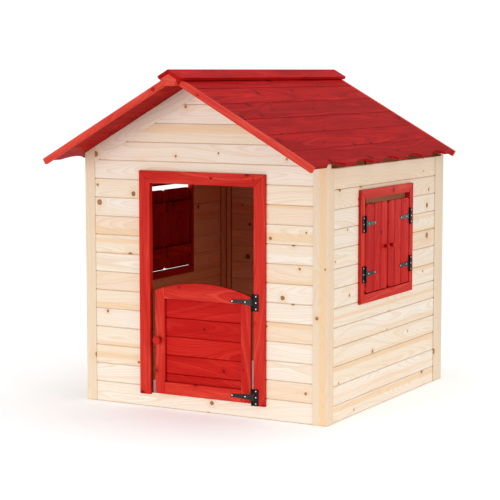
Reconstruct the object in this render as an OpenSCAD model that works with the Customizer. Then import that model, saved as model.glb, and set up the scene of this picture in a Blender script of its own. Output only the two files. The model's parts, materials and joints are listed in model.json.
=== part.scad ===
// Wooden garden playhouse: four panels of tongued and grooved boards, a pitched board roof,
// a half door and two windows, each closed by a pair of shutters on T-hinges.
// Millimetres. X runs across the front, the front faces -Y and Z is up. The origin lies on the
// ground under the middle of the whole house.

/* [House] */
// Width of the house across its front
house_w = 1120; // [1060:10:1180]
// Depth of the house from front face to back face
house_d = 1155; // [1100:5:1250]
// Height of one cladding board, from joint to joint
board_pitch = 77; // [74:0.5:78]
// Thickness of the cladding boards
board_t = 12; // [10:1:14]
// Thickness of the four wall panels
panel_t = 28; // [26:1:32]

/* [Roof] */
// Slope of the roof in degrees
roof_angle = 29.3; // [27:0.1:31]
// Distance from the middle of the house to the eaves
roof_half_w = 611; // [600:1:640]
// Height at which the two roof faces meet
apex_z = 1362; // [1350:1:1400]
// Distance that the roof reaches past the front face
front_overhang = 226; // [150:1:260]
// Distance that the roof reaches past the back face
back_overhang = 19; // [19:1:60]
// Thickness of the roof boards
roof_board_t = 10; // [9:0.5:12]

/* [Door] */
// Width of the doorway between its casings
doorway_w = 482; // [450:1:500]
// Height of the underside of the head casing
doorway_top = 921; // [915:1:921]
// Height of the step over which a child walks in
doorway_sill = 58; // [50:1:70]
// Width of the door leaf
leaf_w = 444; // [430:1:448]
// Height of the leaf's top corners, where its arch starts
leaf_shoulder = 486; // [470:1:500]
// Rise of the arch in the middle of the leaf
leaf_arch = 38.5; // [20:0.5:45]
// Width of the stiles of the leaf
leaf_stile_w = 44; // [38:1:50]

/* [Windows] */
// Width of a window between its casings
window_w = 446; // [400:1:446]
// Height of a window between its casings
window_h = 384; // [360:1:384]
// Distance from the front face to the middle of a window
window_y = 539; // [530:1:560]
// Height of the bottom of a window
window_z = 480; // [475:1:490]
// Height of a shutter
shutter_h = 358; // [340:1:360]

/* [Hinges] */
// Length of a T-hinge's strap from its pin
strap_len = 98; // [85:1:105]
// Height of a T-hinge's plate
plate_h = 67; // [64:1:75]

/* [Hidden] */
$fn = 64;
joint_gap = 0.4;          // open joint between neighbouring boards
seat_gap = 0.3;           // play between pieces that meet at a slant
board_v = 3;              // bevel along each edge of a board's face
board_back_v = 1.5;       // bevel along the joints on a board's back
setback = 2;              // how far the boards lie behind the face of the stiles
groove_depth = 8;         // how far the grooves in the stiles hold the ends of the boards
groove_play = 0.3;        // play of the boards in those grooves
board_run = groove_depth - groove_play; // how far the boards reach into the stiles
casing_t = 12;
lining_t = 11;
sill_t = 30;              // height of the board that lines the bottom of a window
first_board_h = 85;       // lowest board of the front and back walls
side_first_h = 69;        // lowest board of the side walls
side_top_h = 84;          // highest board of the side walls
side_courses = 11;        // boards of full height between those two
wall_h = side_first_h + side_courses * board_pitch + side_top_h;

ridge_front_y = -250;     // front end of the ridge beam, from the front face
ridge_back_y = 1198;      // back end of the ridge beam and caps
cap_lip = 2;              // the caps reach this much past the beam's front end
front_y = -(ridge_front_y - cap_lip + ridge_back_y) / 2;
half_w = house_w / 2;

left_stile_w = 48;        // corner stiles of the front and back walls
right_stile_w = 64;
side_near_stile_w = 28;   // stiles at the two ends of a side wall
side_far_stile_w = 65;
rake_w = 56;              // trim boards under the slopes of the gables
cleat_w = 28;             // battens that the boards are nailed to, inside
cleat_t = panel_t - setback - board_t;
cleat_foot = 10;          // the battens stop this far short of each end of a wall

door_casing_w = 50;
door_casing_foot = 53;    // height of the feet of the door casings
window_casing_w = 37;
casing_face = setback - casing_t;
mitre_gap = 0.4;

leaf_foot = 62;
leaf_right = doorway_w / 2 - 13;
leaf_left = leaf_right - leaf_w;
leaf_lower_rail_top = 111;
leaf_upper_rail_foot = 454;
leaf_corner_r = 12;
leaf_board_foot = 68;
leaf_boards = 5;
leaf_board_inset = 8;
leaf_board_lap = 24;      // how far the highest board reaches up behind the top rail
door_knob_inset = 18;
door_knob_z = 284;

shutter_side_gap = 5;
shutter_mid_gap = 6;
shutter_w = (window_w - 2 * shutter_side_gap - shutter_mid_gap) / 2;
shutter_foot = window_z + 4;
shutter_board_ws = [84, 66, shutter_w - 84 - 66];
shutter_corner_r = 20;
ledge_w = 45;
ledge_inset = 4;
shutter_knob_inset = 26;
shutter_knob_z = 658;

barrel_r = 3.5;
pin_stand = barrel_r + 0.3; // from the middle of the pin to the wood's face
flange_start = 1.5;       // the flat parts of a hinge begin this far from its pin
pin_r = 2;
running_gap = 0.06;       // radial play of a strap on its pin
hinge_t = 2;
strap_barrel_h = 31;
plate_w = 28;             // from the pin to the far edge of the plate
strap_tip_r = 6.5;
screw_r = 1.75;
screw_hole_r = 1.8;
screw_len = 12;
screw_head_r = 3.2;
screw_head_h = 1.3;
strap_screw_xs = [32, strap_len - strap_tip_r];
plate_screw_x = 16;
plate_screw_step = 25;
door_hinge_zs = [86.5, 465];
shutter_hinge_zs = [561, 763];
door_pin_x = doorway_w / 2 - 5;
shutter_pin_y = 2.5;      // from the edge of the window's casing

roof_board_pitch = 116.5;
slope_len = roof_half_w / cos(roof_angle);
beam_shoulder_x = 38;
beam_bottom_x = 26;
beam_bottom_z = apex_z - 47;
barge_t = 18;
barge_depth = 25;
barge_top = beam_shoulder_x / cos(roof_angle) + 2.5;
cap_left_w = 47;          // the left cap board is the narrower one
cap_right_w = 60;
cap_t = 14;
scallops = 5;
scallop_step = 250;
scallop_chord = 160;
scallop_depth = 23;
roof_batten_w = 28;
roof_batten_t = 20;
roof_batten_start = 70;   // the battens begin this far down the slope

red = "#b3262a";
pine = "#ecd9ba";
black = "#1c1c1e";

SHUTTERS = ["right_front", "right_back", "left_front", "left_back"];
SHUTTER_PIECES = ["boards", "ledges", "knob", "straps", "screws"];

// Height of the underside of the roof at a distance x from the middle.
function under_z(x) = apex_z - (roof_board_t + seat_gap) / cos(roof_angle) - tan(roof_angle) * abs(x);
// Height of the lower edge of the rake trims.
function rake_z(x) = under_z(x) - rake_w / cos(roof_angle);
// Height at which the boards of a gable are cut off under those trims.
function gable_cut_z(x) = rake_z(x) - seat_gap;

// Full boards needed above the lowest one to fill a gable.
gable_courses = ceil((rake_z(0) - first_board_h) / board_pitch);
// Heights of a wall's boards from the ground up.
gable_heights = [first_board_h, for (i = [1 : gable_courses]) board_pitch];
side_heights = [side_first_h, for (i = [1 : side_courses]) board_pitch, side_top_h];
// Lower and upper edges of the holes cut in the boards.
door_hole_edges = [doorway_sill, doorway_top + lining_t];
window_hole_edges = [window_z - sill_t, window_z + window_h + lining_t];

// Inner edges of the stiles at the two ends of a side wall.
near_edge = panel_t + side_near_stile_w;
far_edge = house_d - panel_t - side_far_stile_w;

// Height of the lower edge of board i.
function foot_z(heights, i) = i == 0 ? 0 : foot_z(heights, i - 1) + heights[i - 1];
// Whether one of the edges crosses board i.
function is_notched(heights, i, edges) =
    let (foot = foot_z(heights, i)) [for (e = edges) if (foot < e && e < foot + heights[i]) e] != [];
function notched(heights, edges) =
    [for (i = [0 : len(heights) - 1]) if (is_notched(heights, i, edges)) i];
function plain(heights, edges) =
    [for (i = [0 : len(heights) - 1]) if (!is_notched(heights, i, edges)) i];

// ---- Places -------------------------------------------------------------------------------

// Everything below is drawn with y measured from the front face of the house.
module in_house() translate([0, front_y, 0]) children();

module flip(on) {
    if (on) mirror([1, 0, 0]) children();
    else children();
}

// A wall's own frame: x along the wall, y inwards from its outer face.
module in_back_wall() translate([0, house_d, 0]) mirror([0, 1, 0]) children();
module in_right_wall() translate([half_w, 0, 0]) rotate([0, 0, 90]) children();
// The two side walls are the same panel, so the left one is turned round and starts at the back.
module in_left_wall() translate([-half_w, house_d, 0]) rotate([0, 0, -90]) children();
module in_side_wall(side) {
    if (side == "right") in_right_wall() children();
    else in_left_wall() children();
}

// A roof slope's own frame: x down the slope from the apex, y as the house, z out of the roof.
module on_slope(side) flip(side == "left") translate([0, 0, apex_z]) rotate([0, roof_angle, 0]) children();

// Extrudes an outline drawn in x and z between two depths.
module upright(from, to) translate([0, to, 0]) rotate([90, 0, 0]) linear_extrude(to - from) children();

// ---- Boards -------------------------------------------------------------------------------

// Cross-section of a tongued and grooved board: x through its thickness, y across its width.
module board_section(h, t, tongue, groove) {
    v = board_v;
    b = board_back_v;
    slot = [t * 0.3, t * 0.7];
    rib = [t * 0.34, t * 0.66];
    slot_depth = 7;
    rib_h = 6;
    top = h - joint_gap;
    bottom_edge = groove
        ? [[v, 0], [slot[0], 0], [slot[0], slot_depth], [slot[1], slot_depth], [slot[1], 0],
           [t - b, 0], [t, b]]
        : [[v, 0], [t, 0]];
    top_edge = tongue
        ? [[t, top - b], [t - b, top], [rib[1], top], [rib[1], top + rib_h], [rib[0], top + rib_h],
           [rib[0], top], [v, top]]
        : [[t, top], [v, top]];
    polygon(concat(bottom_edge, top_edge, [[0, top - v], [0, v]]));
}

// A board lying along x, its face at y = 0 and its lower edge at z = 0.
module board(len, h, t = board_t, tongue = true, groove = true)
    rotate([90, 0, 90]) linear_extrude(len) board_section(h, t, tongue, groove);

// Boards between x0 and x1. heights lists a wall's boards from the ground up, and picked says
// which of them to draw.
module board_wall(x0, x1, heights, picked) for (i = picked)
    translate([x0, setback, foot_z(heights, i)])
        board(x1 - x0, heights[i], tongue = i < len(heights) - 1, groove = i > 0);

// The boards of a gable wall, cut off under the rake trims.
module gable_boards(picked) {
    x0 = -half_w + left_stile_w - board_run;
    x1 = half_w - right_stile_w + board_run;
    intersection() {
        board_wall(x0, x1, gable_heights, picked);
        upright(0, panel_t)
            polygon([[x0, 0], [x1, 0], [x1, gable_cut_z(x1)], [0, gable_cut_z(0)], [x0, gable_cut_z(x0)]]);
    }
}

// ---- Walls --------------------------------------------------------------------------------

module front_boards(picked) color(pine) in_house()
    difference() {
        gable_boards(picked);
        door_hole_w = doorway_w + 2 * lining_t;
        translate([-door_hole_w / 2, -1, doorway_sill])
            cube([door_hole_w, panel_t, door_hole_edges[1] - doorway_sill]);
    }

module back_boards() color(pine) in_house() in_back_wall() gable_boards([0 : gable_courses]);

module side_boards(side, picked) color(pine) in_house() in_side_wall(side)
    difference() {
        board_wall(near_edge - board_run, far_edge + board_run, side_heights, picked);
        translate([window_y - window_w / 2 - lining_t, -1, window_hole_edges[0]])
            cube([window_w + 2 * lining_t, panel_t, window_hole_edges[1] - window_hole_edges[0]]);
    }

// The boards that run past a doorway or window and are notched for its lower or upper edge.
module notched_boards() {
    front_boards(notched(gable_heights, door_hole_edges));
    for (side = ["left", "right"]) side_boards(side, notched(side_heights, window_hole_edges));
}

// Groove for the ends of the boards, in a stile whose inner edge is at x.
module stile_groove(x) translate([x - groove_depth, setback - groove_play, -1])
    cube([2 * groove_depth, board_t + 2 * groove_play, apex_z]);

// Stile of the front or back wall, with its top cut to the roof.
module gable_stile(left) color(pine) {
    edge = left ? -half_w + left_stile_w : half_w - right_stile_w;
    side = left ? -half_w : half_w;
    difference() {
        upright(0, panel_t)
            polygon([[edge, 0], [side, 0], [side, under_z(side)], [edge, under_z(edge)]]);
        stile_groove(edge);
    }
}

module side_stiles(side) color(pine) in_house() in_side_wall(side)
    difference() {
        union() {
            translate([panel_t, 0, 0]) cube([side_near_stile_w, panel_t, wall_h]);
            translate([far_edge, 0, 0]) cube([side_far_stile_w, panel_t, wall_h]);
        }
        for (x = [near_edge, far_edge]) stile_groove(x);
    }

// One gable's pair of rake trims, mitred in the middle and notched round the ridge beam.
module rake_pair()
    difference() {
        upright(0, panel_t)
            for (x = [-half_w + left_stile_w, half_w - right_stile_w])
                let (mid = sign(x) * mitre_gap / 2)
                    polygon([[x, rake_z(x)], [mid, rake_z(mid)], [mid, under_z(mid)], [x, under_z(x)]]);
        upright(-1, panel_t + 1) beam_outline();
    }

module rake_trims() color(pine) in_house() {
    rake_pair();
    in_back_wall() rake_pair();
}

// Upright battens behind the boards of a wall, starting at each x in xs.
module cleats(xs) for (x = xs)
    translate([x, setback + board_t, cleat_foot]) cube([cleat_w, cleat_t, wall_h - 2 * cleat_foot]);

module wall_cleats() color(pine) in_house() {
    beside_door = doorway_w / 2 + lining_t;
    cleats([-beside_door - cleat_w, beside_door]);
    in_back_wall() cleats([-half_w / 3, half_w / 3 - cleat_w]);
}

// ---- Door frame ---------------------------------------------------------------------------

module door_casing_side(left) color(red) in_house() flip(left)
    upright(casing_face, setback) {
        inner = doorway_w / 2;
        outer = inner + door_casing_w;
        polygon([[inner, door_casing_foot], [outer, door_casing_foot],
                 [outer, doorway_top + door_casing_w], [inner, doorway_top]]);
    }

module door_casing_head() color(red) in_house()
    upright(casing_face, setback) {
        inner = doorway_w / 2;
        outer = inner + door_casing_w;
        top = doorway_top + door_casing_w;
        polygon([[-inner, doorway_top], [inner, doorway_top], [outer, top], [-outer, top]]);
    }

// Thin boards that line the cut ends of the cladding round the doorway.
module door_lining() color(red) in_house() translate([0, setback, 0]) {
    w = doorway_w / 2;
    for (x = [-w - lining_t, w])
        translate([x, 0, doorway_sill]) cube([lining_t, board_t, doorway_top - doorway_sill - joint_gap]);
    translate([-w - lining_t, 0, doorway_top]) cube([2 * (w + lining_t), board_t, lining_t]);
}

// ---- Windows ------------------------------------------------------------------------------

// The window opening in a side wall's frame, enlarged by margin and depth thick.
module window_block(margin, depth)
    translate([window_y - window_w / 2 - margin, 0, window_z - margin])
        cube([window_w + 2 * margin, depth, window_h + 2 * margin]);

// A frame of four mitred boards round the window, w wide and t thick.
module window_ring(w, t)
    difference() {
        window_block(w, t);
        translate([0, -1, 0]) window_block(0, t + 2);
        for (sx = [-1, 1], sz = [-1, 1])
            translate([window_y + sx * window_w / 2, -1, window_z + window_h / 2 + sz * window_h / 2])
                rotate([0, -sx * sz * 45, 0])
                    translate([-2 * w, 0, -mitre_gap / 2]) cube([4 * w, t + 2, mitre_gap]);
    }

module window_casing(side) color(red) in_house() in_side_wall(side)
    translate([0, casing_face, 0]) window_ring(window_casing_w, casing_t);

// Thin boards that line the cut ends of the cladding round a window, above a taller sill.
module window_linings() color(red) in_house()
    for (side = ["left", "right"]) in_side_wall(side) translate([window_y, setback, window_z]) {
        w = window_w / 2;
        for (x = [-w - lining_t, w])
            translate([x, 0, 0]) cube([lining_t, board_t, window_h - joint_gap]);
        translate([-w - lining_t, 0, window_h]) cube([2 * (w + lining_t), board_t, lining_t]);
        translate([-w - lining_t, 0, -sill_t]) cube([2 * (w + lining_t), board_t, sill_t - joint_gap]);
    }

// ---- Roof ---------------------------------------------------------------------------------

// End view of the ridge beam: its top follows the roof and its sides meet the roof boards.
module beam_outline() {
    shoulder_z = apex_z - tan(roof_angle) * beam_shoulder_x;
    polygon([[-beam_bottom_x, beam_bottom_z], [beam_bottom_x, beam_bottom_z], [beam_shoulder_x, shoulder_z],
             [0, apex_z], [-beam_shoulder_x, shoulder_z]]);
}

module ridge_beam() color(red) in_house() upright(ridge_front_y, ridge_back_y) beam_outline();

// Cap board of one slope, w wide and mitred to the other along the ridge.
module ridge_cap(side, w) color(red) in_house() flip(side == "left")
    upright(ridge_front_y - cap_lip, ridge_back_y) {
        top = apex_z + seat_gap;
        foot = [w * cos(roof_angle), top - w * sin(roof_angle)];
        out = [cap_t * sin(roof_angle), cap_t * cos(roof_angle)];
        polygon([[0, top], foot, foot + out, [0, top + cap_t / cos(roof_angle)]]);
    }

// Six boards down each slope: a short one beside the beam, and a scalloped one at the eaves.
module roof_boards(side) color(red) in_house() on_slope(side) {
    from_y = -front_overhang + barge_t;
    to_y = house_d + back_overhang - barge_t;
    first = beam_shoulder_x / cos(roof_angle) + joint_gap;
    for (i = [0 : 5]) {
        lower = slope_len - i * roof_board_pitch;
        upper = i < 5 ? lower - roof_board_pitch : first;
        difference() {
            translate([lower, from_y, 0]) rotate([0, 0, 90]) rotate([-90, 0, 0])
                board(to_y - from_y, lower - upper, roof_board_t, tongue = i < 5, groove = i > 0);
            if (i == 0) scallop_cuts();
        }
    }
}

// Shallow arcs along the lower edge of the roof, evenly spaced about its middle.
module scallop_cuts() {
    r = (pow(scallop_chord / 2, 2) + pow(scallop_depth, 2)) / (2 * scallop_depth);
    middle = (house_d + back_overhang - front_overhang) / 2;
    for (i = [0 : scallops - 1])
        translate([slope_len - scallop_depth + r, middle + (i - (scallops - 1) / 2) * scallop_step, 0])
            cylinder(h = 4 * roof_board_t, r = r, center = true, $fn = 128);
}

// Boards that close the ends of the roof at the front and the back.
module barge_boards() color(red) in_house()
    for (side = ["left", "right"]) on_slope(side)
        for (y = [-front_overhang, house_d + back_overhang - barge_t])
            translate([barge_top, y, -barge_depth]) cube([slope_len - barge_top, barge_t, barge_depth]);

// Battens under the roof boards: behind the front wall, in the middle and before the back wall.
module roof_battens() color(pine) in_house()
    for (side = ["left", "right"]) on_slope(side)
        for (y = [panel_t + joint_gap, (house_d - roof_batten_w) / 2,
                  house_d - panel_t - joint_gap - roof_batten_w])
            translate([roof_batten_start, y, -roof_board_t - roof_batten_t])
                cube([half_w / cos(roof_angle) - roof_batten_start, roof_batten_w, roof_batten_t]);

// ---- T-hinges -----------------------------------------------------------------------------

// A hinge's own frame: its pin stands at the origin along z, the wood's face is at y = pin_stand,
// the plate reaches to -x and the strap to +x. A hinge is the same above and below its middle, so
// it is turned end over end to make the strap reach the other way.
module at_door_hinges() in_house() for (z = door_hinge_zs)
    translate([door_pin_x, casing_face - pin_stand, z]) rotate([0, 180, 0]) children();

// Whether a shutter hangs at the far end of its window, as seen from where its wall starts.
function is_far(side, back) = (side == "right") == back;
function shutter_pin(far) = window_y + (far ? 1 : -1) * (window_w / 2 - shutter_pin_y);

module at_shutter_hinges(side, back) in_house() in_side_wall(side) for (z = shutter_hinge_zs)
    translate([shutter_pin(is_far(side, back)), casing_face - pin_stand, z])
        rotate([0, is_far(side, back) ? 180 : 0, 0]) children();

module at_all_hinges() {
    at_door_hinges() children();
    for (side = ["left", "right"], back = [false, true]) at_shutter_hinges(side, back) children();
}

module hinge_plate() difference() {
    gap = 0.5;
    knuckle_h = (plate_h - strap_barrel_h) / 2 - gap;
    flange_y = pin_stand - hinge_t;
    union() {
        translate([-plate_w, flange_y, -plate_h / 2]) cube([plate_w - barrel_r - gap, hinge_t, plate_h]);
        for (s = [-1, 1]) translate([0, 0, s * (plate_h - knuckle_h) / 2]) {
            cylinder(h = knuckle_h, r = barrel_r, center = true);
            translate([-barrel_r - 2 * gap, flange_y, -knuckle_h / 2])
                cube([barrel_r + 2 * gap - flange_start, hinge_t, knuckle_h]);
        }
    }
    cylinder(h = 2 * plate_h, r = pin_r, center = true);
    for (i = [-1 : 1]) translate([-plate_screw_x, 0, i * plate_screw_step]) screw_hole();
}

module hinge_strap() difference() {
    union() {
        cylinder(h = strap_barrel_h, r = barrel_r, center = true);
        upright(pin_stand - hinge_t, pin_stand) strap_outline();
    }
    cylinder(h = 2 * strap_barrel_h, r = pin_r + running_gap, center = true);
    for (x = strap_screw_xs) translate([x, 0, 0]) screw_hole();
}

// Long taper with a round tip, flared where it meets the barrel.
module strap_outline() {
    tip_x = strap_len - strap_tip_r;
    neck = [barrel_r + 16, 10];
    root = [flange_start, strap_barrel_h / 2];
    end = [tip_x, strap_tip_r * 0.95];
    polygon([root, neck, end, [end[0], -end[1]], [neck[0], -neck[1]], [root[0], -root[1]]]);
    translate([tip_x, 0]) circle(strap_tip_r);
}

module screw_hole() rotate([-90, 0, 0]) cylinder(h = 3 * barrel_r, r = screw_hole_r);

// Domed screw, its shank along +y from the hinge's outer face.
module hinge_screw() translate([0, pin_stand - hinge_t, 0]) rotate([-90, 0, 0])
    rotate_extrude() polygon([[0, -screw_head_h], [screw_head_r * 0.6, -screw_head_h],
        [screw_head_r, -screw_head_h * 0.35], [screw_head_r, 0], [screw_r, 0],
        [screw_r, screw_len - 2], [0, screw_len]]);

module hinge_plates() color(black) at_all_hinges() hinge_plate();

module hinge_pins() color(black) at_all_hinges() cylinder(h = plate_h - 1, r = pin_r, center = true);

module plate_screws() color("silver") at_all_hinges()
    for (i = [-1 : 1]) translate([-plate_screw_x, 0, i * plate_screw_step]) hinge_screw();

module strap_screws() color("silver")
    for (x = strap_screw_xs) translate([x, 0, 0]) hinge_screw();

// Turned knob that stands out to -y from a face at y = 0: a stem under a round head.
module knob(size) color(red) rotate([90, 0, 0]) scale(size)
    rotate_extrude() {
        square([8, 14]);
        translate([0, 11]) square([7, 12]);
        translate([7, 17]) circle(6);
    }

// ---- Door leaf ----------------------------------------------------------------------------

module rounded(w, h, r) {
    translate([r, 0]) square([w - 2 * r, h]);
    translate([0, r]) square([w, h - 2 * r]);
    for (x = [r, w - r], z = [r, h - r]) translate([x, z]) circle(r);
}

// Outline of the leaf: rounded feet and an arched top.
module leaf_outline() {
    half = leaf_w / 2;
    arch_r = (half * half + leaf_arch * leaf_arch) / (2 * leaf_arch);
    intersection() {
        translate([leaf_left, leaf_foot]) rounded(leaf_w, 2 * arch_r, leaf_corner_r);
        translate([(leaf_left + leaf_right) / 2, leaf_shoulder + leaf_arch - arch_r])
            circle(arch_r, $fn = 256);
    }
}

// The part of the leaf's front frame that lies inside the given box.
module leaf_frame(x0, x1, z0, z1) color(red) in_house()
    upright(casing_face, setback - joint_gap)
        intersection() {
            leaf_outline();
            translate([x0, z0]) square([x1 - x0, z1 - z0]);
        }

module door_left_stile() leaf_frame(leaf_left, leaf_left + leaf_stile_w, 0, apex_z);
module door_right_stile() leaf_frame(leaf_right - leaf_stile_w, leaf_right, 0, apex_z);
module door_top_rail()
    leaf_frame(leaf_left + leaf_stile_w, leaf_right - leaf_stile_w, leaf_upper_rail_foot, apex_z);
module door_bottom_rail()
    leaf_frame(leaf_left + leaf_stile_w, leaf_right - leaf_stile_w, 0, leaf_lower_rail_top);

// Boards behind the leaf's frame.
module door_boards() color(red) in_house()
    for (i = [0 : leaf_boards - 1])
        let (highest = i == leaf_boards - 1)
            translate([leaf_left + leaf_board_inset, setback - joint_gap, leaf_board_foot + i * board_pitch])
                board(leaf_w - 2 * leaf_board_inset, board_pitch + (highest ? leaf_board_lap : 0),
                      tongue = !highest, groove = i > 0);

module door_knob() in_house()
    translate([leaf_left + door_knob_inset, casing_face, door_knob_z]) knob(1.25);

module door_straps() color(black) at_door_hinges() hinge_strap();
module door_screws() at_door_hinges() strap_screws();

// ---- Shutters -----------------------------------------------------------------------------

// A shutter's own frame: x from its hinged edge, the outer face at y = 0 and its foot at z = 0.
module in_shutter(side, back) in_house() in_side_wall(side)
    translate([window_y, casing_face, shutter_foot]) flip(is_far(side, back))
        translate([-window_w / 2 + shutter_side_gap, 0, 0]) children();

// Three upright boards with rounded outer corners.
module shutter_boards(side, back) color(red) in_shutter(side, back)
    intersection() {
        for (i = [0 : 2])
            let (x0 = i == 0 ? 0 : i == 1 ? shutter_board_ws[0] : shutter_board_ws[0] + shutter_board_ws[1])
                translate([x0, 0, 0]) mirror([1, 0, 0]) rotate([0, 0, 90])
                    linear_extrude(shutter_h)
                        board_section(shutter_board_ws[i], board_t, i < 2, i > 0);
        upright(-1, board_t + 1) rounded(shutter_w, shutter_h, shutter_corner_r);
    }

// Two boards across the back of the shutter, level with its hinges.
module shutter_ledges(side, back) color(red) in_shutter(side, back)
    for (z = shutter_hinge_zs)
        translate([ledge_inset, board_t, z - shutter_foot - ledge_w / 2])
            cube([shutter_w - 2 * ledge_inset, board_t, ledge_w]);

module shutter_knob(side, back) in_shutter(side, back)
    translate([shutter_w - shutter_knob_inset, 0, shutter_knob_z - shutter_foot]) knob(0.8);

module shutter_straps(side, back) color(black) at_shutter_hinges(side, back) hinge_strap();
module shutter_screws(side, back) at_shutter_hinges(side, back) strap_screws();

// ---- Nodes --------------------------------------------------------------------------------

front_boards(plain(gable_heights, door_hole_edges));
back_boards();
side_boards("left", plain(side_heights, window_hole_edges));  // left_boards
side_boards("right", plain(side_heights, window_hole_edges));  // right_boards
notched_boards();
in_house() gable_stile(true);  // front_left_stile
in_house() gable_stile(false);  // front_right_stile
in_house() in_back_wall() gable_stile(true);  // back_left_stile
in_house() in_back_wall() gable_stile(false);  // back_right_stile
side_stiles("left");  // left_wall_stiles
side_stiles("right");  // right_wall_stiles
rake_trims();
wall_cleats();
door_casing_side(true);  // door_casing_left
door_casing_side(false);  // door_casing_right
door_casing_head();
door_lining();
window_casing("right");  // right_window_casing
window_casing("left");  // left_window_casing
window_linings();
ridge_beam();
ridge_cap("left", cap_left_w);  // ridge_cap_left
ridge_cap("right", cap_right_w);  // ridge_cap_right
roof_boards("left");  // roof_boards_left
roof_boards("right");  // roof_boards_right
barge_boards();
roof_battens();
hinge_plates();
hinge_pins();
plate_screws();
door_left_stile();
door_right_stile();
door_top_rail();
door_bottom_rail();
door_boards();
door_knob();
door_straps();
door_screws();
for (side = ["right", "left"], back = [false, true]) {
    name = str(side, back ? "_back" : "_front", "_shutter_");
    shutter_boards(side, back);
    shutter_ledges(side, back);
    shutter_knob(side, back);
    shutter_straps(side, back);
    shutter_screws(side, back);
}
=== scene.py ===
"""Looks of a small wooden playhouse: planed pine walls, red stained roof, door and shutters.

All pieces but the screws keep the frame's meshes. This script rounds their edges, gives each board
its own stretch of grain, makes screws with a cross recess, and sets the materials, the floor, the
lights and the camera. Metres and radians.
"""
import json
import math
from collections import Counter

import bmesh
import bpy
from mathutils import Matrix, Vector

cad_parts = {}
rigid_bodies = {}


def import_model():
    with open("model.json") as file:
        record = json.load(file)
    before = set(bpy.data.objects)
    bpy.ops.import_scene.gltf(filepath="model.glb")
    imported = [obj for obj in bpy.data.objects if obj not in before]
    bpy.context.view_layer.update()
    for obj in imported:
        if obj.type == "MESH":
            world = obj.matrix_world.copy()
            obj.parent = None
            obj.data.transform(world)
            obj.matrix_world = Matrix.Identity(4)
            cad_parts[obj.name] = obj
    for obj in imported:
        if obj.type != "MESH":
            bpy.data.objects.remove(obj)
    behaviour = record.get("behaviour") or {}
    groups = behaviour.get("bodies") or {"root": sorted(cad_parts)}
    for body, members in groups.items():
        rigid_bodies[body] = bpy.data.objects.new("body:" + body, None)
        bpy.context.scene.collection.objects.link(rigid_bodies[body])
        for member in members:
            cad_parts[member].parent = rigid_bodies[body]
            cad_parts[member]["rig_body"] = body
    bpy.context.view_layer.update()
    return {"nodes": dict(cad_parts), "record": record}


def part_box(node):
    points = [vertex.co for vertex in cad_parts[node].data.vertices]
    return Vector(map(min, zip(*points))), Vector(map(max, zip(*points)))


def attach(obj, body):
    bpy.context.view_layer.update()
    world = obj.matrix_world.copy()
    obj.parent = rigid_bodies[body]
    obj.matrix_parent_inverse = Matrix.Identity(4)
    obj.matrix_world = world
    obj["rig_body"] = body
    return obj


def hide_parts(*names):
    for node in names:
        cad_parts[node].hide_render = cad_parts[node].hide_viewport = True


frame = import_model()

GOLDEN = (math.sqrt(5) - 1) / 2  # steps of this size never fall on the same fraction twice

SLOT_OF = {row["node"]: row["material_slot"] for row in frame["record"]["subparts"]}


# ---- Boards: one set of grain coordinates for each solid --------------------------------------

def solids_of(mesh):
    """Vertex indices of each solid of a CAD mesh, whose faces meet only where their corners do."""
    parent = list(range(len(mesh.vertices)))

    def root(i):
        while parent[i] != i:
            parent[i] = parent[parent[i]]
            i = parent[i]
        return i

    first_at = {}
    for vertex in mesh.vertices:
        place = tuple(round(c, 6) for c in vertex.co)
        parent[root(vertex.index)] = root(first_at.setdefault(place, vertex.index))
    for edge in mesh.edges:
        parent[root(edge.vertices[0])] = root(edge.vertices[1])
    groups = {}
    for vertex in mesh.vertices:
        groups.setdefault(root(vertex.index), []).append(vertex.index)
    return sorted(groups.values(), key=lambda g: tuple(round(c, 4) for c in middle_of(mesh, g)))


def extent(mesh, group):
    """Lowest and highest corner of the box round a group of vertices."""
    points = [mesh.vertices[i].co for i in group]
    return (Vector(min(p[k] for p in points) for k in range(3)),
            Vector(max(p[k] for p in points) for k in range(3)))


def middle_of(mesh, group):
    low, high = extent(mesh, group)
    return (low + high) / 2


def board_axes(mesh, edges, faces):
    """Directions along, across and through a board: its longest edge, then its largest side."""
    lengths = [mesh.vertices[b].co - mesh.vertices[a].co for a, b in edges]
    along = max(lengths, key=lambda d: d.length).normalized()
    areas = Counter()
    for face in faces:
        areas[tuple(round(c, 2) for c in face.normal)] += face.area
    through = Vector(max(sorted(areas), key=areas.get))
    through = (through - along * through.dot(along)).normalized()
    return along, through.cross(along), through


def set_grain(mesh, first_seed):
    """Stores where each point lies in its own board, and a seed for each board."""
    groups = solids_of(mesh)
    group_of = {i: k for k, group in enumerate(groups) for i in group}
    uses = Counter(key for face in mesh.polygons for key in face.edge_keys)
    rims = [[] for _ in groups]
    sides = [[] for _ in groups]
    for key, count in uses.items():
        if count == 1:
            rims[group_of[key[0]]].append(key)
    for face in mesh.polygons:
        sides[group_of[face.vertices[0]]].append(face)
    places = [0.0] * (3 * len(mesh.vertices))
    seeds = [0.0] * len(mesh.vertices)
    for k, group in enumerate(groups):
        axes = board_axes(mesh, rims[k], sides[k])
        middle = middle_of(mesh, group)
        for i in group:
            offset = mesh.vertices[i].co - middle
            places[3 * i:3 * i + 3] = [offset.dot(axis) for axis in axes]
            seeds[i] = (first_seed + k * GOLDEN) % 1
    mesh.attributes.new("board", "FLOAT_VECTOR", "POINT").data.foreach_set("vector", places)
    mesh.attributes.new("seed", "FLOAT", "POINT").data.foreach_set("value", seeds)
    return len(groups)


FLAT_ANGLE = math.radians(0.3)  # faces that turn less than this become one
EDGE_ANGLE = math.radians(28)   # edges that turn more than this are rounded
WELD_REACH = 1e-5


def join_faces(obj):
    """Joins the CAD faces, which come with corners of their own, into closed solids."""
    weld = obj.modifiers.new("weld", "WELD")
    weld.merge_threshold = WELD_REACH


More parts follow.
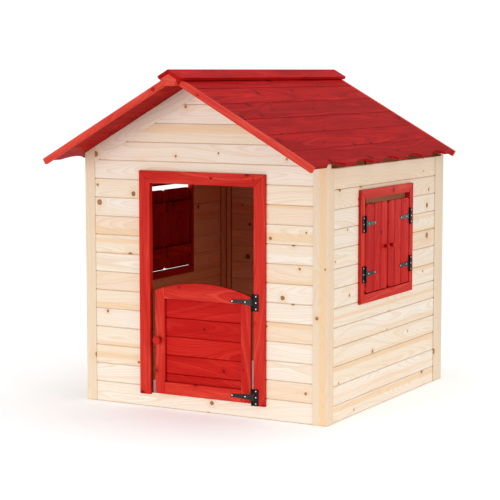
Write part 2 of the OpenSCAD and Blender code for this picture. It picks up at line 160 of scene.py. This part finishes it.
def round_edges(obj, width):
    """Rounds the edges between the faces."""
    flat = obj.modifiers.new("flat", "DECIMATE")
    flat.decimate_type = "DISSOLVE"
    flat.angle_limit = FLAT_ANGLE
    bevel = obj.modifiers.new("round", "BEVEL")
    bevel.width = width
    bevel.segments = 2
    bevel.limit_method = "ANGLE"
    bevel.angle_limit = EDGE_ANGLE
    bevel.use_clamp_overlap = True
    normals = obj.modifiers.new("normals", "WEIGHTED_NORMAL")
    normals.keep_sharp = True


# ---- Shader building --------------------------------------------------------------------------

def add(tree, kind, inputs=None, out=0, **settings):
    """Adds a node, sets its options, fills its inputs from values or sockets, returns an output."""
    made = tree.nodes.new(kind)
    for key, value in settings.items():
        setattr(made, key, value)
    for key, value in (inputs or {}).items():
        if isinstance(value, bpy.types.NodeSocket):
            tree.links.new(value, made.inputs[key])
        else:
            made.inputs[key].default_value = value
    return made.outputs[out]


def calc(tree, operation, *values):
    return add(tree, "ShaderNodeMath", dict(enumerate(values)), operation=operation)


def total(tree, *values):
    result = values[0]
    for value in values[1:]:
        result = calc(tree, "ADD", result, value)
    return result


def product(tree, *values):
    result = values[0]
    for value in values[1:]:
        result = calc(tree, "MULTIPLY", result, value)
    return result


def step(tree, value, low, high, to_low=0.0, to_high=1.0):
    """Smooth step from to_low, where value is low, to to_high, where it is high."""
    return add(tree, "ShaderNodeMapRange",
               {0: value, 1: low, 2: high, 3: to_low, 4: to_high}, interpolation_type="SMOOTHSTEP")


def join(tree, x, y, z=0.0):
    return add(tree, "ShaderNodeCombineXYZ", {0: x, 1: y, 2: z})


def noise(tree, place, detail):
    return add(tree, "ShaderNodeTexNoise", {"Vector": place, "Scale": 1.0, "Detail": detail},
               out="Fac")


def line_noise(tree, value, detail=1.0):
    return add(tree, "ShaderNodeTexNoise", {"W": value, "Scale": 1.0, "Detail": detail}, out="Fac",
               noise_dimensions="1D")


def colour(red, green, blue):
    return (red, green, blue, 1.0)


def mix(tree, amount, a, b, mode="MIX"):
    return add(tree, "ShaderNodeMix", {0: amount, 6: a, 7: b}, out=2, data_type="RGBA",
               blend_type=mode, clamp_factor=True)


def cover(tree, base, coats, mode="MIX"):
    """Lays (amount, tint) after (amount, tint) over a base colour."""
    for amount, tint in coats:
        base = mix(tree, amount, base, colour(*tint), mode)
    return base


def new_material(name):
    material = bpy.data.materials.new(name)
    material.use_nodes = True
    tree = material.node_tree
    return material, tree, tree.nodes["Principled BSDF"]


def plug(tree, shader, **inputs):
    """Fills the shader's inputs, written with _ for a space."""
    for key, value in inputs.items():
        socket = shader.inputs[key.replace("_", " ")]
        if isinstance(value, bpy.types.NodeSocket):
            tree.links.new(value, socket)
        else:
            socket.default_value = value


# ---- Wood -------------------------------------------------------------------------------------

KNOT_CELL = (0.17, 0.085)      # room along and across a board in which one knot may sit
KNOT_SHARE = 0.35              # share of those rooms that hold one
KNOT_LEAST = 0.0036            # radius of the smallest
KNOT_SPREAD = 0.0085           # how much larger the largest is
KNOT_RING = 0.0016             # one year's growth of a branch
RING_WIDTH = 0.0040            # one year's growth of the trunk
CREVICE = 0.009                # how near another surface has to be for the painted shade to darken a corner
SEAM = 0.003                   # the same for the painted shade in the fine joints on the inner faces
SKIN = 0.0005                  # how far past the inner faces the painted indoor shade reaches


def knots(tree, place, u, v, own):
    """Round knots scattered over a board's face, at most one in each cell."""
    cell = join(tree, product(tree, u, 1 / KNOT_CELL[0]),
                total(tree, product(tree, v, 1 / KNOT_CELL[1]), product(tree, own, 3.7)))
    scatter = {"Vector": cell, "Scale": 1.0, "Randomness": 0.85}
    at = add(tree, "ShaderNodeTexVoronoi", scatter, out="Position", voronoi_dimensions="2D")
    pick = add(tree, "ShaderNodeTexVoronoi", scatter, out="Color", voronoi_dimensions="2D")
    away = add(tree, "ShaderNodeVectorMath", {0: cell, 1: at}, operation="SUBTRACT")
    away = add(tree, "ShaderNodeVectorMath", {0: away, 1: (*KNOT_CELL, 0.0)}, operation="MULTIPLY")
    far = add(tree, "ShaderNodeVectorMath", {0: away}, out="Value", operation="LENGTH")
    chance, size, tone = (add(tree, "ShaderNodeSeparateColor", {0: pick}, out=k) for k in range(3))
    there = calc(tree, "LESS_THAN", chance, KNOT_SHARE)
    radius = total(tree, product(tree, size, size, KNOT_SPREAD), KNOT_LEAST)
    ragged = add(tree, "ShaderNodeTexNoise", {"Vector": place, "Scale": 260.0, "Detail": 1.0},
                 out="Fac")
    span = product(tree, calc(tree, "DIVIDE", far, radius),
                   total(tree, product(tree, ragged, 0.5), 0.75))
    whorl = calc(tree, "FRACT", product(tree, far, 1 / KNOT_RING))
    return {"radius": radius, "tone": tone,
            "knot": product(tree, there, step(tree, span, 1.12, 0.85)),
            "rim": product(tree, there, step(tree, span, 0.55, 0.95), step(tree, span, 1.25, 1.0)),
            "halo": product(tree, there, step(tree, span, 4.5, 0.6)),
            "whorl": product(tree, step(tree, whorl, 0.2, 0.6), step(tree, whorl, 1.0, 0.8))}


def grain(tree):
    """Growth rings, knots and fibre of a board sawn from its own stretch of trunk."""
    place = add(tree, "ShaderNodeAttribute", attribute_name="board", out="Vector")
    seed = add(tree, "ShaderNodeAttribute", attribute_name="seed", out="Fac")
    along, v, w = (add(tree, "ShaderNodeSeparateXYZ", {0: place}, out=k) for k in range(3))
    own = product(tree, seed, 311.0)
    dice = [calc(tree, "FRACT", product(tree, seed, throw)) for throw in (13.7, 41.3, 7.1)]
    u = total(tree, along, own)
    g = knots(tree, place, u, v, own)
    g["dice"] = dice

    # The pith wanders beside and under the face, so that the rings run out in arches.
    aside = product(tree, total(tree, dice[2], -0.5), 0.10)
    pith_v = product(tree, total(tree, line_noise(tree, product(tree, u, 1.1)), -0.5), 0.16)
    deeper = line_noise(tree, total(tree, product(tree, u, 0.8), 40.0))
    pith_w = total(tree, product(tree, deeper, 0.10), product(tree, dice[1], 0.03))
    wobble = noise(tree, join(tree, product(tree, u, 5.0), product(tree, v, 24.0),
                              product(tree, w, 24.0)), 3.0)
    to_pith = join(tree, total(tree, v, aside, product(tree, pith_v, -1.0)), total(tree, w, pith_w))
    to_pith = add(tree, "ShaderNodeVectorMath", {0: to_pith}, out="Value", operation="LENGTH")
    reach = total(tree, to_pith, product(tree, wobble, 0.007),
                  product(tree, g["halo"], g["radius"], 1.3))

    ring = calc(tree, "FRACT", product(tree, reach, 1 / RING_WIDTH))
    g["late"] = product(tree, step(tree, ring, 0.35, 0.92), step(tree, ring, 1.0, 0.93))
    year = line_noise(tree, total(tree, product(tree, reach, 120.0), own), 2.0)
    g["bands"] = step(tree, year, 0.47, 0.70)
    g["ghost"] = step(tree, year, 0.44, 0.30)
    g["fibre"] = noise(tree, join(tree, product(tree, u, 9.0), product(tree, v, 900.0),
                                  product(tree, w, 900.0)), 2.0)
    g["patch"] = noise(tree, join(tree, product(tree, u, 2.6), product(tree, v, 16.0), own), 2.0)
    streak = line_noise(tree, total(tree, product(tree, v, 24.0), own))
    g["heart"] = product(tree, step(tree, streak, 0.5, 0.68), step(tree, dice[0], 0.30, 0.65))
    return g


def relief(tree, g, depth):
    """Bump of hard late wood, fibres and knots standing a little proud."""
    height = total(tree, product(tree, g["late"], 0.35), product(tree, g["bands"], 0.3),
                   product(tree, g["fibre"], 0.35), product(tree, g["knot"], 0.6))
    return add(tree, "ShaderNodeBump", {"Strength": 0.55, "Distance": depth, "Height": height})


def openness(tree, reach=CREVICE):
    """One on an open surface, falling to zero in the depth of a joint or corner."""
    return add(tree, "ShaderNodeAmbientOcclusion", {"Distance": reach}, out="AO", samples=6)


def indoors(tree):
    """One on the inner faces of the walls, where a redder, darker painted indoor shade is laid."""
    place = add(tree, "ShaderNodeTexCoord", out="Object")
    x, y = (add(tree, "ShaderNodeSeparateXYZ", {0: place}, out=k) for k in range(2))
    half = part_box("right_boards")[0][0] + SKIN
    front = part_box("front_boards")[1][1] - SKIN
    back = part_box("back_boards")[0][1] + SKIN
    return product(tree, calc(tree, "LESS_THAN", calc(tree, "ABSOLUTE", x), half),
                   calc(tree, "GREATER_THAN", y, front), calc(tree, "LESS_THAN", y, back))


def pine(name, pale, honey, heart):
    """Bare pine. heart says how strongly the orange band of heartwood shows."""
    material, tree, shader = new_material(name)
    g = grain(tree)
    base = mix(tree, step(tree, g["dice"][0], 0.3, 1.0), colour(*pale), colour(*honey))
    base = cover(tree, base, [
        (step(tree, g["dice"][1], 0.66, 0.97, 0.0, 0.75), (0.88, 0.68, 0.50)),  # darker boards
        (step(tree, g["patch"], 0.45, 0.75, 0.0, 0.50), (0.89, 0.71, 0.52)),
        (product(tree, g["heart"], heart), (0.86, 0.58, 0.32)),
        (product(tree, g["bands"], 0.34), (0.79, 0.58, 0.40)),
        (product(tree, g["late"], 0.30), (0.73, 0.50, 0.32)),
        (step(tree, g["fibre"], 0.3, 0.7, 0.0, 0.10), (0.66, 0.48, 0.32)),
        (product(tree, g["halo"], 0.35), (0.78, 0.50, 0.25))])
    brown = mix(tree, g["tone"], colour(0.50, 0.23, 0.09), colour(0.31, 0.145, 0.06))
    brown = mix(tree, product(tree, g["whorl"], 0.35), brown, colour(0.16, 0.07, 0.03))
    base = mix(tree, product(tree, g["knot"], 0.92), base, brown)
    base = mix(tree, product(tree, g["rim"], 0.50), base, colour(0.12, 0.052, 0.024))
    painted_indoor_shade = indoors(tree)
    # Painted shade: corners and joints are darkened where other surfaces are near, the inner faces
    # get a redder, darker painted indoor shade, and their fine joints a painted shade of their own.
    base = cover(tree, base, [
        (step(tree, openness(tree), 0.80, 0.30, 0.0, 0.7), (0.50, 0.28, 0.14)),
        (product(tree, painted_indoor_shade, 0.9), (1.0, 0.66, 0.50)),
        (product(tree, painted_indoor_shade, step(tree, openness(tree, SEAM), 0.95, 0.70)), (0.30, 0.16, 0.12)),
    ], "MULTIPLY")
    plug(tree, shader, Base_Color=base, Roughness=step(tree, g["bands"], 0.0, 1.0, 0.62, 0.5),
         Specular_IOR_Level=0.2, Normal=relief(tree, g, 0.0006))
    return material


def stained(name, coat, deep, pale):
    """Pine under a thin stain, deeper on late wood and round knots and paler where it has worn."""
    material, tree, shader = new_material(name)
    g = grain(tree)
    dark = tuple(0.35 * c for c in deep)
    base = cover(tree, colour(*coat), [
        (product(tree, g["dice"][0], 0.5), deep),
        (step(tree, g["patch"], 0.42, 0.72, 0.0, 0.75), deep),
        (step(tree, g["patch"], 0.42, 0.24, 0.0, 0.55), pale),
        (product(tree, g["bands"], 0.50), deep),
        (product(tree, g["ghost"], 0.30), pale),
        (product(tree, g["late"], 0.50), deep),
        (step(tree, g["fibre"], 0.50, 0.75, 0.0, 0.30), pale),
        (product(tree, g["halo"], 0.45), deep),
        (product(tree, g["knot"], 0.65), dark),
        (product(tree, g["rim"], 0.65), dark)])
    # Painted shade: darker in corners and joints where other surfaces are near.
    base = mix(tree, step(tree, openness(tree), 0.80, 0.30, 0.0, 0.9), base,
               colour(0.28, 0.14, 0.18), "MULTIPLY")
    plug(tree, shader, Base_Color=base, Roughness=step(tree, g["fibre"], 0.2, 0.8, 0.40, 0.52),
         Specular_IOR_Level=0.11, Normal=relief(tree, g, 0.0007))
    return material


# ---- Metal ------------------------------------------------------------------------------------

def speckle(tree, scale):
    place = add(tree, "ShaderNodeTexCoord", out="Object")
    return add(tree, "ShaderNodeTexNoise", {"Vector": place, "Scale": scale, "Detail": 2.0},
               out="Fac")


def black_steel(name, rough, gloss):
    """Powder coat: an even black with a fine orange-peel skin."""
    material, tree, shader = new_material(name)
    peel = speckle(tree, 900.0)
    base = mix(tree, speckle(tree, 60.0), colour(0.010, 0.010, 0.011), colour(0.022, 0.022, 0.024))
    plug(tree, shader, Base_Color=base, Specular_IOR_Level=gloss,
         Roughness=step(tree, speckle(tree, 200.0), 0.3, 0.7, rough - 0.04, rough + 0.06),
         Normal=add(tree, "ShaderNodeBump", {"Strength": 0.3, "Distance": 0.0002, "Height": peel}))
    return material


def zinc_steel():
    material, tree, shader = new_material("zinc_steel")
    base = mix(tree, speckle(tree, 500.0), colour(0.80, 0.79, 0.76), colour(0.62, 0.62, 0.61))
    plug(tree, shader, Base_Color=base, Metallic=1.0,
         Roughness=step(tree, speckle(tree, 1200.0), 0.3, 0.7, 0.22, 0.38))
    return material


# ---- Screws -----------------------------------------------------------------------------------

HEAD_HEIGHT = 0.0013
DOME_SHARE = 0.8               # height of a head's dome as a share of the head's
SHANK_SHARE = 0.55             # thickness of the shank as a share of the head's
DOME_RINGS = 6
SCREW_SIDES = 32
RECESS_DEPTH = 0.0012
RECESS_TOP = (0.52, 0.15)      # half a bar's length and thickness as shares of the head's radius
RECESS_BOTTOM = (0.22, 0.07)
SHARP_ANGLE = math.radians(35)
SCREW_NODES = [name for name, slot in SLOT_OF.items() if slot == "zinc_steel"]


def turned(outline, sides):
    """Bmesh of a piece turned about Z from (radius, height) points, both ends on the axis."""
    made = bmesh.new()
    rings = []
    for radius, height in outline:
        turns = sides if radius > 0 else 1
        rings.append([made.verts.new((radius * math.cos(math.tau * k / sides),
                                      radius * math.sin(math.tau * k / sides), height))
                      for k in range(turns)])
    for upper, lower in zip(rings, rings[1:]):
        for k in range(sides):
            corners = [upper[k % len(upper)], lower[k % len(lower)],
                       lower[(k + 1) % len(lower)], upper[(k + 1) % len(upper)]]
            made.faces.new(list(dict.fromkeys(corners)))
    return made


def cross_recess(radius):
    """Bmesh of a driver's tip: two bars that taper towards the bottom of the recess."""
    made = bmesh.new()
    for turn in (0, math.pi / 2):
        bar = bmesh.ops.create_cube(made, size=1.0)["verts"]
        for vert in bar:
            reach, half = RECESS_BOTTOM if vert.co.z < 0 else RECESS_TOP
            vert.co = Vector((math.copysign(radius * reach, vert.co.x),
                              math.copysign(radius * half, vert.co.y),
                              math.copysign(RECESS_DEPTH, vert.co.z)))
        bmesh.ops.rotate(made, verts=bar, cent=(0, 0, 0), matrix=Matrix.Rotation(turn, 3, "Z"))
    return made


def as_object(name, made):
    mesh = bpy.data.meshes.new(name)
    made.to_mesh(mesh)
    made.free()
    obj = bpy.data.objects.new(name, mesh)
    bpy.context.scene.collection.objects.link(obj)
    return obj


def screw_mesh(radius, length):
    """Domed cross-head screw along Z, with the top of its head at the origin."""
    angles = [math.pi / 2 * k / DOME_RINGS for k in range(DOME_RINGS + 1)]
    rise = DOME_SHARE * HEAD_HEIGHT
    dome = [(radius * math.sin(a), rise * (math.cos(a) - 1)) for a in angles]
    shank = SHANK_SHARE * radius
    point = [(shank, -HEAD_HEIGHT), (shank, 2 * shank - length), (0, -length)]
    screw = as_object("screw", turned(dome + [(radius, -HEAD_HEIGHT)] + point, SCREW_SIDES))
    driver = as_object("driver", cross_recess(radius))
    cut = screw.modifiers.new("recess", "BOOLEAN")
    cut.object = driver
    cut.solver = "EXACT"
    cut.use_self = True
    depsgraph = bpy.context.evaluated_depsgraph_get()
    mesh = bpy.data.meshes.new_from_object(screw.evaluated_get(depsgraph))
    for spare in (screw, driver):
        bpy.data.objects.remove(spare)
    return mesh


def screw_place(low, high):
    """Where a screw that fills this box stands: its head faces out of the house."""
    size = high - low
    axis = max(range(3), key=lambda k: size[k])
    top = (low + high) / 2
    outward = math.copysign(1.0, top[axis])
    top[axis] += outward * size[axis] / 2
    facing = Vector([outward if k == axis else 0.0 for k in range(3)])
    return Matrix.Translation(top) @ facing.to_track_quat("Z", "Y").to_matrix().to_4x4()


def screws():
    """A cross-head screw in the place of each plain one."""
    pattern = None
    for node in sorted(SCREW_NODES):
        source = frame["nodes"][node]
        merged = bmesh.new()
        for number, group in enumerate(solids_of(source.data)):
            low, high = extent(source.data, group)
            if pattern is None:
                pattern = screw_mesh(min(high - low) / 2, max(high - low))
            turn = Matrix.Rotation(number * GOLDEN * math.tau, 4, "Z")
            copy = pattern.copy()
            copy.transform(screw_place(low, high) @ turn)
            merged.from_mesh(copy)
            bpy.data.meshes.remove(copy)
        obj = as_object(node + "_cross_head", merged)
        obj.data.materials.append(ZINC)
        for face in obj.data.polygons:
            face.use_smooth = True
        obj.data.set_sharp_from_angle(angle=SHARP_ANGLE)
        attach(obj, source["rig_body"])
        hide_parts(node)
    bpy.data.meshes.remove(pattern)


# ---- Dressing the frame -----------------------------------------------------------------------

PINE = pine("pine", (0.91, 0.82, 0.71), (0.90, 0.79, 0.64), 0.65)
STILE_PINE = pine("pine_stile", (0.82, 0.67, 0.50), (0.80, 0.66, 0.50), 0.75)
# The barge boards and ridge beam get a lighter, more orange copy of the red stain: a painted
# highlight for the front light and sheen on them.
LIT_EDGE_RED = stained("red_wood_painted_lit_edge", (0.74, 0.095, 0.066), (0.58, 0.044, 0.034), (0.84, 0.19, 0.13))
FRAME_RED = stained("red_wood_frame", (0.66, 0.058, 0.040), (0.47, 0.022, 0.019),
                    (0.78, 0.13, 0.085))
PANEL_RED = stained("red_wood", (0.61, 0.034, 0.026), (0.40, 0.010, 0.010), (0.73, 0.080, 0.055))
# The roof gets a deeper red: partly a denser stain, partly painted shade for the weaker light on
# top.
DENSE_SHADED_ROOF_RED = stained("red_wood_roof_dense_and_shaded", (0.48, 0.010, 0.011), (0.26, 0.003, 0.005),
                   (0.63, 0.034, 0.028))
PLATE_BLACK = black_steel("black_steel", 0.42, 0.25)
STRAP_BLACK = black_steel("black_steel_strap", 0.30, 0.5)
ZINC = zinc_steel()

FINISH = {"pine": PINE, "red_wood": PANEL_RED, "black_steel": PLATE_BLACK, "zinc_steel": ZINC}
OWN_FINISH = {
    LIT_EDGE_RED: ("barge", "ridge_beam"),
    FRAME_RED: ("casing", "lining", "door_left", "door_right", "door_top", "door_bottom",
                "knob"),
    DENSE_SHADED_ROOF_RED: ("roof_boards", "ridge_cap", "roof_battens"),
    STILE_PINE: ("stile",),
    STRAP_BLACK: ("straps",),
}
ROUNDING = {"pine": 0.0009, "red_wood": 0.0011, "black_steel": 0.0003}  # radius of the edges


def finish_of(name):
    """The first finish that a word in the node's name asks for, or else its slot's."""
    for material, words in OWN_FINISH.items():
        if any(word in name for word in words):
            return material
    return FINISH[SLOT_OF[name]]


def dress_frame():
    boards = 0
    for name, obj in sorted(frame["nodes"].items()):
        slot = SLOT_OF[name]
        if slot in ("pine", "red_wood"):
            boards += set_grain(obj.data, boards * GOLDEN)
        obj.data.materials.clear()
        obj.data.materials.append(finish_of(name))
        join_faces(obj)
        if slot in ROUNDING and not name.endswith("knob"):
            round_edges(obj, ROUNDING[slot])


dress_frame()
screws()


# ---- Stage ------------------------------------------------------------------------------------

FLOOR_SOLID = 0.9              # the floor is full this far from the middle
FLOOR_END = 3.0                # and has faded into the backdrop here
FLOOR_GLOW = 0.20              # strength of the light that comes through it


def floor():
    """Pale floor, lit a little from below, that fades into the white backdrop."""
    mesh = bpy.data.meshes.new("floor")
    corners = [(x * FLOOR_END, y * FLOOR_END, 0) for x, y in ((-1, -1), (1, -1), (1, 1), (-1, 1))]
    mesh.from_pydata(corners, [], [(0, 1, 2, 3)])
    obj = bpy.data.objects.new("floor", mesh)
    bpy.context.scene.collection.objects.link(obj)
    material, tree, shader = new_material("floor")
    tint = mix(tree, speckle(tree, 3.0), colour(0.98, 0.98, 0.98), colour(0.96, 0.96, 0.96))
    out = add(tree, "ShaderNodeVectorMath", {0: add(tree, "ShaderNodeTexCoord", out="Object")},
              out="Value", operation="LENGTH")
    plug(tree, shader, Base_Color=tint, Roughness=0.9, Specular_IOR_Level=0.1,
         Emission_Color=tint, Emission_Strength=FLOOR_GLOW,
         Alpha=step(tree, out, FLOOR_END, FLOOR_SOLID))
    mesh.materials.append(material)


def softbox(name, place, target, size, power):
    data = bpy.data.lights.new(name, "AREA")
    data.shape = "RECTANGLE"
    data.size, data.size_y = size
    data.energy = power
    obj = bpy.data.objects.new(name, data)
    bpy.context.scene.collection.objects.link(obj)
    obj.location = place
    obj.rotation_euler = (Vector(target) - Vector(place)).to_track_quat("-Z", "Y").to_euler()


def world():
    """White backdrop in a room whose own light is half as bright."""
    made = bpy.data.worlds.new("studio")
    bpy.context.scene.world = made
    made.use_nodes = True
    tree = made.node_tree
    seen = add(tree, "ShaderNodeLightPath", out="Is Camera Ray")
    sky = tree.nodes["Background"]
    sky.inputs["Color"].default_value = colour(1.0, 1.0, 1.0)
    tree.links.new(step(tree, seen, 0.0, 1.0, 0.5, 1.05), sky.inputs["Strength"])


SENSOR_WIDTH = 36.0
LENS = 117.76
STAND = (3.311, -6.068, 1.375)
LOOK_DOWN = math.radians(6.277)
LOOK_LEFT = math.radians(28.921)  # from straight back


def camera():
    """Long lens at the height of the ridge, to the right of the front and looking a little down."""
    data = bpy.data.cameras.new("camera")
    data.sensor_width = SENSOR_WIDTH
    data.lens = LENS
    data.clip_end = 100.0
    obj = bpy.data.objects.new("camera", data)
    bpy.context.scene.collection.objects.link(obj)
    obj.location = STAND
    obj.rotation_euler = (math.pi / 2 - LOOK_DOWN, 0.0, LOOK_LEFT)
    bpy.context.scene.camera = obj


TONES = ((0.03, 0.013), (0.10, 0.075), (0.30, 0.295))  # a value and what is shown for it


def grade():
    """Print-like contrast: the darkest tones fall away faster than the light ones."""
    view = bpy.context.scene.view_settings
    view.view_transform = "Standard"
    view.use_curve_mapping = True
    curve = view.curve_mapping.curves[3]  # the one for all three colours
    for value, shown in TONES:
        curve.points.new(value, shown)
    view.curve_mapping.update()


floor()
world()
softbox("key", (-1.4, -6.0, 1.3), (0, -0.4, 0.7), (3.4, 2.6), 144.0)
softbox("side", (6.0, -1.6, 1.7), (0.5, 0, 0.6), (2.8, 2.4), 104.0)
softbox("top", (0.3, 0.2, 5.5), (0, 0, 1.0), (3.6, 3.6), 110.0)
softbox("behind", (3.4, 5.2, 1.2), (0.4, 0, 0.6), (2.4, 2.0), 30.0)
camera()
grade()
